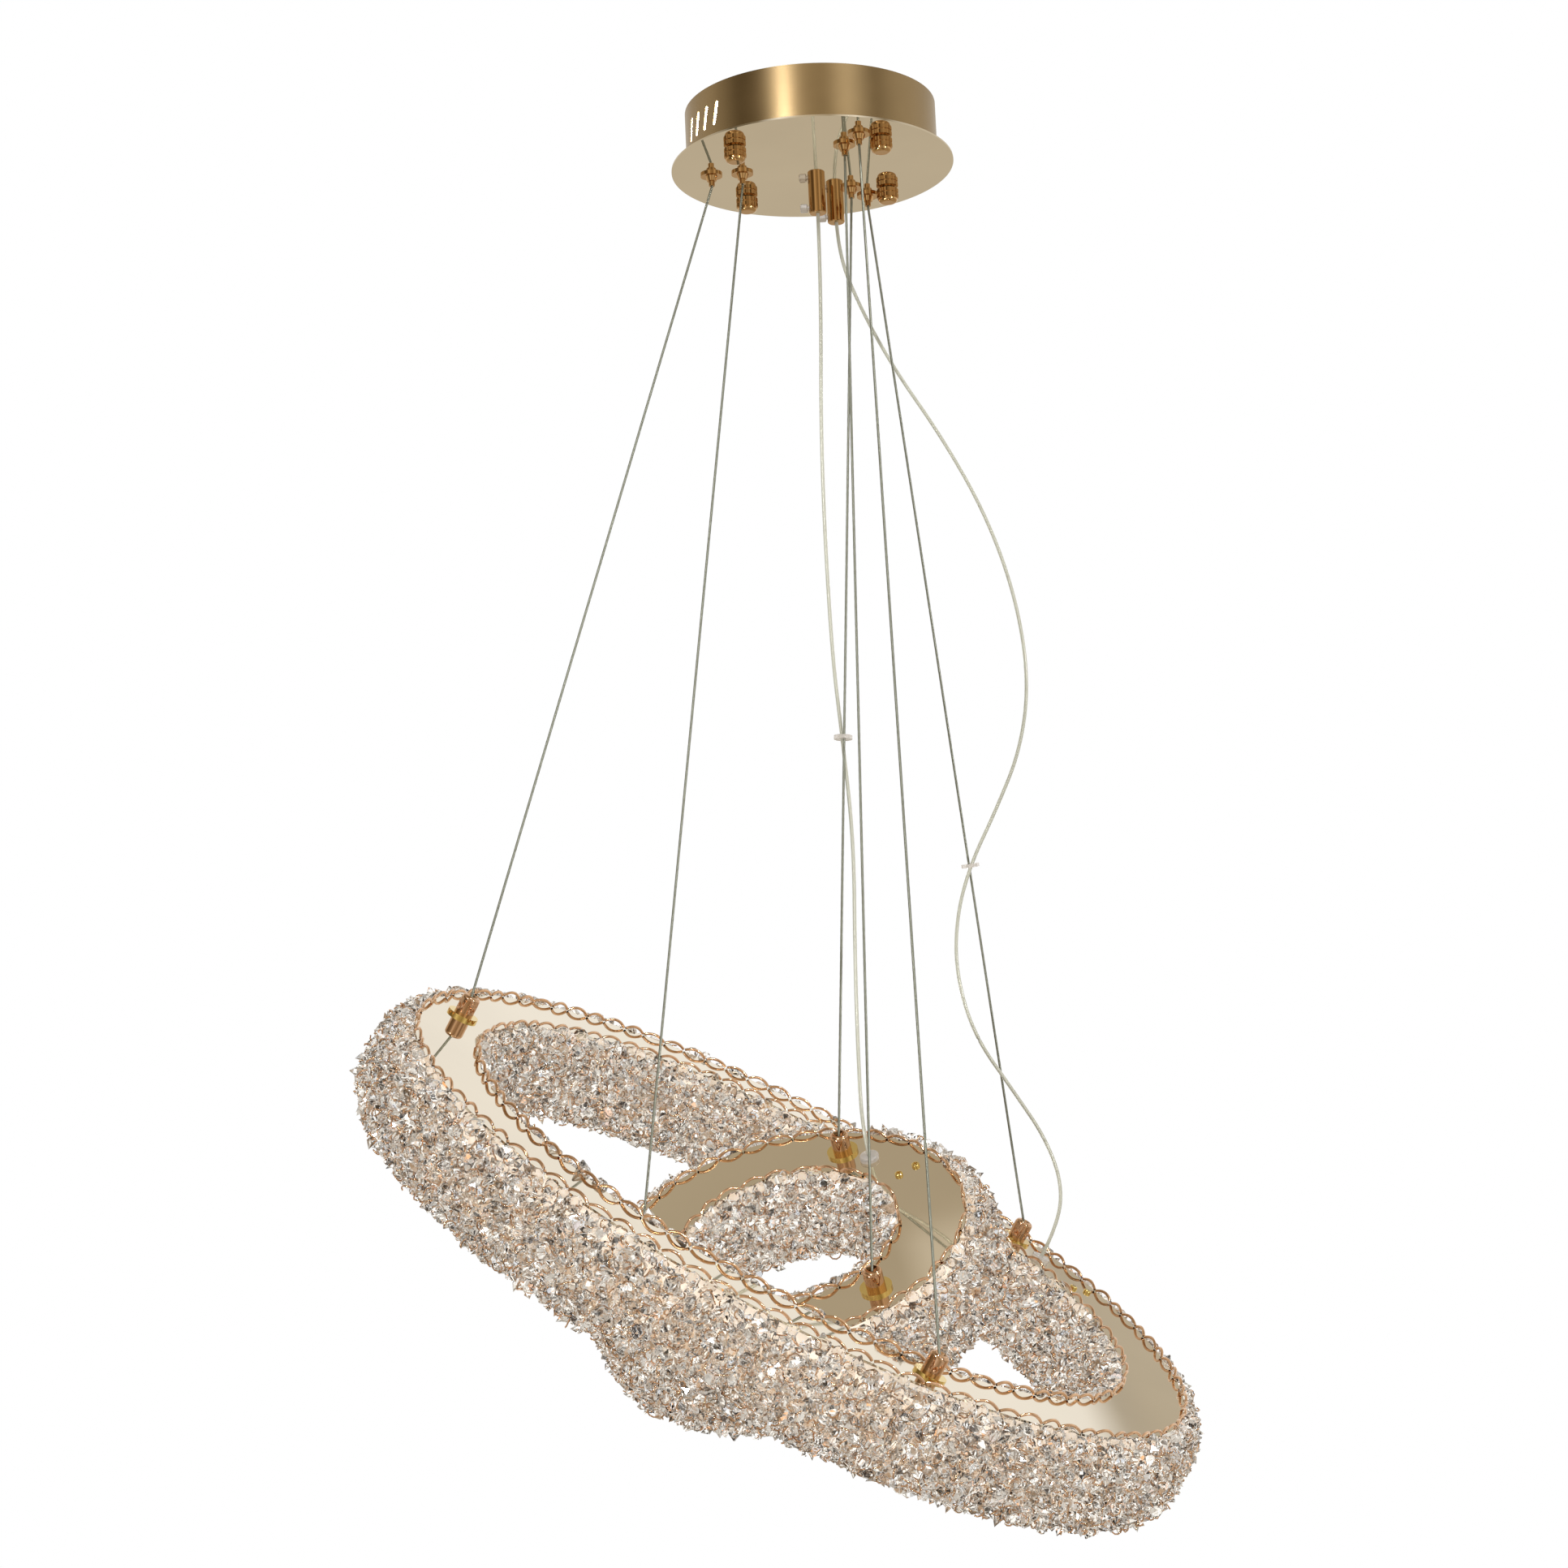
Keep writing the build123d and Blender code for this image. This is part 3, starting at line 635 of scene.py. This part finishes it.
# %% Wire loops and ties
LOOP_HIGH = 0.0028
LOOP_SPREAD = (0.8, 1.25)
LOOP_WIRE = 0.00105
LOOP_SHARE = 0.46
LOOP_INSET = 0.0009
LOOP_POINTS = 13
TIE_WIRE = 0.0006
TIE_RADIUS = (0.0022, 0.0042)
TIE_TURN = 200.0
TIE_POINTS = 6


def edge_loops(ring, radius, count):
    """Arches standing on an edge, with s from -1 to 1: h(s) = H (1 - s^2), a(s) = a0 + w s."""
    s = np.linspace(-1, 1, LOOP_POINTS)
    angle = 360 / count * (np.arange(count)[:, None] + LOOP_SHARE * s)
    high = LOOP_HIGH * rng.uniform(*LOOP_SPREAD, (count, 1))
    side = radius + LOOP_WIRE * np.where(np.arange(count) % 2, 1, -1)[:, None] * s
    return on_ring(ring, polar(side, angle, LOOP_WIRE + high * (1 - s * s)))


def ties(ring):
    """Short hoops round the beads: arcs r (cos t, sin t, 0), each turned at random."""
    centres, _ = bead_layer(ring, "tie")
    t = np.radians(np.linspace(0, TIE_TURN, TIE_POINTS))
    arc = np.stack([np.cos(t), np.sin(t), 0 * t], -1)
    reach = rng.uniform(*TIE_RADIUS, (len(centres), 1, 1))
    turned = np.einsum("nij,pj->npi", random_spins(len(centres)), arc)
    return centres[:, None] + reach * turned


for name, ring in RINGS.items():
    outside, inside = ring["loops"]
    arches = np.concatenate([
        edge_loops(ring, ring["radius"] - LOOP_INSET, outside),
        edge_loops(ring, ring["radius"] - BAND_WIDTH + LOOP_INSET, inside)])
    add_mesh(f"{name}_edge_loops", *tubes(arches, LOOP_WIRE, sides=6), "strand_wire",
             f"{name}_ring", "rose_gold", smooth=True)
    add_mesh(f"{name}_bead_ties", *tubes(ties(ring), TIE_WIRE, sides=3), "strand_wire",
             f"{name}_ring", "rose_gold", smooth=True)

# %% [markdown]
# Suspension wires: six strands of steel twisted together, upright in the bush's tip and
# pulled straight from there to the post's mouth. Six thin tubes could be wound round each
# other, but at this thickness one lobed section that turns looks the same.

# %% Suspension wires
WIRE_DIA = 0.0018
WIRE_ANGLES = {"left": 180.0, "front": 300.0, "back": 60.0}
WIRE_RADIUS = {"outer": 0.072, "inner": 0.050}
WIRE_POINTS = 300
STRANDS = 6
STRAND_PITCH = 0.012
TIP_LOW = -0.0514
TIP_DEPTH = 0.002
TIP_RUN = 0.0026
POST_TOP = 0.0155
POST_DEPTH = 0.0022

for name, ring in RINGS.items():
    for side, degrees in WIRE_ANGLES.items():
        top = polar(WIRE_RADIUS[name], degrees, TIP_LOW + TIP_DEPTH)
        post = polar(ring["radius"] - HALF, ring["posts"][side], POST_TOP - POST_DEPTH)
        mouth = on_ring(ring, post)
        leave = top - [0.0, 0.0, TIP_RUN]
        slope = leave + np.linspace(0, 1, WIRE_POINTS)[:, None] * (mouth - leave)
        line = np.concatenate([[top, (top + leave) / 2], slope])
        shape = tubes(line[None], WIRE_DIA / 2, 2 * STRANDS, lobes=STRANDS, pitch=STRAND_PITCH)
        wire = add_mesh(f"wire_{name}_{side}", *shape, "steel_wire", "canopy", "steel_wire", True)
        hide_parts(f"suspension_wire_{name}_{side}")
        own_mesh(wire)

# %% [markdown]
# Power cords: a clear sheath on two silvery cores, hanging in a loose curve from the gland
# to the grommet, tied once to a wire by a small clear clip. The line is a spline on the
# route's points, which are those of the solids. A bevelled curve would draw the cord too,
# but here it is a mesh tube.

# %% Power cords
CORD_DIA = 0.0026
CORD_ENTRY = 0.025
CORD_END = 0.001
SHEATH_SIDES = 10
CORES = 2
CORE_SHARE = 0.27
CORE_PITCH = 0.15
SPLINE_STEPS = 16
CORD_ROUTE = {
    "inner": [
        (0.0, 0.050, -0.050), (0.0, 0.050, -0.110), (-0.006, 0.049, -0.240),
        (-0.005, 0.0484, -0.380), (-0.0002, 0.048, -0.446), (0.0046, 0.045, -0.520),
        (0.002, 0.038, -0.600), (0.0014, 0.0274, -0.668),
    ],
    "outer": [
        (0.012, 0.072, -0.050), (0.012, 0.072, -0.080), (0.024, 0.084, -0.116),
        (0.047, 0.093, -0.164), (0.080, 0.105, -0.216), (0.1085, 0.118, -0.272),
        (0.127, 0.128, -0.333), (0.133, 0.138, -0.393), (0.124, 0.147, -0.442),
        (0.1035, 0.153, -0.485), (0.083, 0.1568, -0.523), (0.071, 0.162, -0.560),
        (0.0685, 0.167, -0.600), (0.079, 0.173, -0.645), (0.105, 0.178, -0.686),
        (0.127, 0.182, -0.722), (0.137, 0.1876, -0.757),
    ],
}


def spline_points(name, points):
    """Points along a quadratic spline whose control points are the route's."""
    curve = bpy.data.curves.new(name, "CURVE")
    curve.dimensions = "3D"
    curve.resolution_u = SPLINE_STEPS
    spline = curve.splines.new("NURBS")
    spline.points.add(len(points) - 1)
    spline.points.foreach_set("co", np.c_[points, np.ones(len(points))].ravel())
    spline.order_u = 3
    spline.use_endpoint_u = True
    holder = bpy.data.objects.new(name, curve)
    mesh = bpy.data.meshes.new_from_object(holder)
    line = np.array([v.co for v in mesh.vertices])
    bpy.data.objects.remove(holder)
    return line


for name, ring in RINGS.items():
    reach = ring["radius"] - HALF + ring["grommet_shift"]
    eye = [polar(reach, ring["grommet"], h) for h in (CORD_ENTRY, CORD_END)]
    line = spline_points(f"route_{name}", np.concatenate([CORD_ROUTE[name], on_ring(ring, eye)]))
    sheath = add_mesh(f"cord_{name}", *tubes(line[None], CORD_DIA / 2, SHEATH_SIDES), "clear_cord",
                      "canopy", "clear_cord", smooth=True)
    twist = tubes(line[None], CORD_DIA * CORE_SHARE, sides=6, lobes=CORES, pitch=CORE_PITCH)
    cores = add_mesh(f"cord_cores_{name}", *twist, "cord_core", "canopy", "clear_cord", smooth=True)
    held = nodes[f"cord_clip_{name}"]
    clip = bpy.data.objects.new(f"clip_{name}", held.data.copy())
    bpy.context.scene.collection.objects.link(clip)
    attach(clip, "canopy")
    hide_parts(f"cord_clip_{name}")
    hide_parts(f"power_cord_{name}")
    for piece in (sheath, cores, clip):
        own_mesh(piece)

# %% [markdown]
# The studio is painted on the world, because polished metal looks like what is round it.
# Walls and cards could stand there as meshes, but then they would need hiding from the
# camera. A direction's colour is the product of bands along two of its components. Darker
# greys are warmer, as in a room with wooden floors and shades.

# %% Bands of the room
world = bpy.data.worlds.new("studio")
bpy.context.scene.world = world
world.use_nodes = True
tree = world.node_tree
tree.nodes.clear()
place = tree.nodes.new("ShaderNodeTexCoord")
split = tree.nodes.new("ShaderNodeSeparateXYZ")
feed(tree, place.outputs["Generated"], split.inputs[0])
WARM = np.array([1.0, 0.89, 0.71])


def bands(axis, stops):
    """Colour by one direction component, -1 to 1: a grey g becomes g WARM^(2 - 2 g)."""
    spread = tree.nodes.new("ShaderNodeMapRange")
    spread.inputs["From Min"].default_value = -1.0
    feed(tree, split.outputs[axis], spread.inputs["Value"])
    return ramp(tree, spread.outputs["Result"],
                [((component + 1) / 2, grey * WARM ** max(2 - 2 * grey, 0))
                 for component, grey in stops])


def product(one, two):
    """Two colours multiplied."""
    return mix_colours(tree, "MULTIPLY", 1.0, one, two)


def light(colour, strength):
    """A world background of one colour, a socket or plain, at a strength."""
    shade = tree.nodes.new("ShaderNodeBackground")
    shade.inputs["Strength"].default_value = strength
    feed(tree, colour, shade.inputs["Color"])
    return shade.outputs[0]


print("world", world.name)

# %% [markdown]
# What metal sees. Behind the object is a white backdrop that darkens to the floor and the
# ceiling, with a thin dark line and a shaded strip under it where it meets the wall, which
# the outer plate shows as its dark end. A pale card lightens part of the inner plate. On
# the camera's side soft upright bands make the streaks on the drum, nuts and glands.

# %% Room for metal
CARD_LIGHT = 0.17
ROOM_LIGHT = 1.06
TURN_START, TURN_END = -0.15, 0.25

backdrop = product(
    bands("Z", ((-1, 0.45), (-0.5, 0.50), (-0.19, 0.60), (0.05, 0.97), (0.30, 0.90),
                (0.392, 0.52), (0.399, 0.52), (0.4005, 0.40), (0.4055, 0.40), (0.411, 0.95),
                (0.45, 0.97), (0.7, 0.80), (0.88, 0.47), (1, 0.43))),
    bands("X", ((-1, 0.8), (-0.4, 1.0), (1, 0.95))))
card = product(
    bands("X", ((-1, 0), (-0.195, 0), (-0.191, 1), (0.10, 1), (0.12, 0), (1, 0))),
    bands("Y", ((-1, 0), (-0.2, 0), (-0.1, 1), (0.3255, 1), (0.3275, 0), (1, 0))))
behind = mix_colours(tree, "ADD", CARD_LIGHT, backdrop, card)
camera_side = product(
    bands("X", ((-1, 0.70), (-0.85, 0.14), (-0.6, 0.22), (-0.35, 0.95), (-0.1, 0.58),
                (0.3, 0.40), (0.6, 0.90), (0.85, 0.25), (1, 0.9))),
    bands("Z", ((-1, 0.4), (-0.6, 1.0), (-0.15, 0.9), (0.05, 0.9), (0.32, 0.95),
                (0.5, 1.4), (0.8, 0.8), (1, 0.3))))
turn = tree.nodes.new("ShaderNodeMapRange")
turn.interpolation_type = "SMOOTHSTEP"
set_inputs(turn, {"From Min": TURN_START, "From Max": TURN_END})
feed(tree, split.outputs["Y"], turn.inputs["Value"])
room = light(mix_colours(tree, "MIX", turn.outputs["Result"], camera_side, behind), ROOM_LIGHT)
print("room for metal", len(tree.nodes), "nodes")

# %% [markdown]
# What glass sees: a brighter room with a few narrow dark bars, because cut glass lit by an
# even room looks flat and grey. The camera itself sees plain white. Light Path says which
# kind of ray asks.

# %% Room for glass and background
GLASS_LIGHT = 1.3
WHITE = (1.0, 1.0, 1.0, 1.0)

through = product(
    bands("X", ((-1, 1.0), (-0.62, 1.0), (-0.52, 0.10), (-0.40, 1.0), (0.10, 1.0),
                (0.22, 0.12), (0.34, 1.0), (0.75, 1.0), (0.85, 0.15), (1, 0.8))),
    bands("Z", ((-1, 0.5), (-0.70, 1.0), (-0.52, 0.25), (-0.40, 1.0), (0.30, 1.0),
                (0.42, 0.30), (0.55, 1.0), (1, 0.7))))
path = tree.nodes.new("ShaderNodeLightPath")
lit = mix_shaders(tree, path.outputs["Is Transmission Ray"], room, light(through, GLASS_LIGHT))
seen = mix_shaders(tree, path.outputs["Is Camera Ray"], lit, light(WHITE, 1.0))
out = tree.nodes.new("ShaderNodeOutputWorld")
feed(tree, seen, out.inputs["Surface"])
print("world", len(tree.nodes), "nodes")

# %% [markdown]
# Lamps. Four small soft boxes round the camera put sharp lights on the facets and wires,
# which the pale room alone can't. A small lamp inside the canopy stands for the daylight
# that gets in by the vents, so that they show white.

# %% Lamps


def softbox(name, place, aim, size, power):
    """A square area light at place, facing aim."""
    lamp = bpy.data.lights.new(name, "AREA")
    lamp.size = size
    lamp.energy = power
    thing = bpy.data.objects.new(name, lamp)
    bpy.context.scene.collection.objects.link(thing)
    thing.location = place
    way = np.asarray(aim, float) - np.asarray(place, float)
    flat = math.hypot(way[0], way[1])
    thing.rotation_euler = (math.atan2(flat, -way[2]), 0.0, math.atan2(-way[0], way[1]))
    print(name, power, "W")


softbox("key", (-0.85, -2.4, 0.5), (0.0, 0.0, -0.7), 0.3, 18.0)
softbox("fill", (1.9, -1.5, -0.5), (0.0, 0.0, -0.8), 0.2, 14.0)
softbox("top", (0.9, -1.2, 1.3), (0.0, 0.0, -0.8), 0.2, 16.0)
softbox("low", (-1.2, -1.2, -1.8), (0.0, 0.0, -0.8), 0.2, 12.0)
glow = bpy.data.lights.new("canopy_glow", "POINT")
glow.energy = 3.0
glow.shadow_soft_size = 0.004
inside = bpy.data.objects.new("canopy_glow", glow)
inside.location = (-0.045, -0.03, -0.03)
bpy.context.scene.collection.objects.link(inside)
print("canopy_glow", glow.energy, "W")

# %% [markdown]
# The camera stands where the photograph was taken from: below the canopy and level with
# the rings' lower edges, with a long lens. The picture is square. Light may bounce often,
# because it passes many facets on its way.

# %% Camera
view = bpy.data.cameras.new("camera")
view.lens = 84.009
view.sensor_width = 36.0
view.clip_end = 20.0
camera = bpy.data.objects.new("camera", view)
bpy.context.scene.collection.objects.link(camera)
camera.location = (0.11786, -2.46232, -0.96351)
camera.rotation_euler = tuple(math.radians(a) for a in (100.965, 2.472, 4.134))
scene = bpy.context.scene
scene.camera = camera
scene.view_settings.view_transform = "Standard"
scene.cycles.max_bounces = 16
scene.cycles.transmission_bounces = 14
scene.cycles.glossy_bounces = 6
scene.cycles.transparent_max_bounces = 32
print("camera", view.lens, "mm")
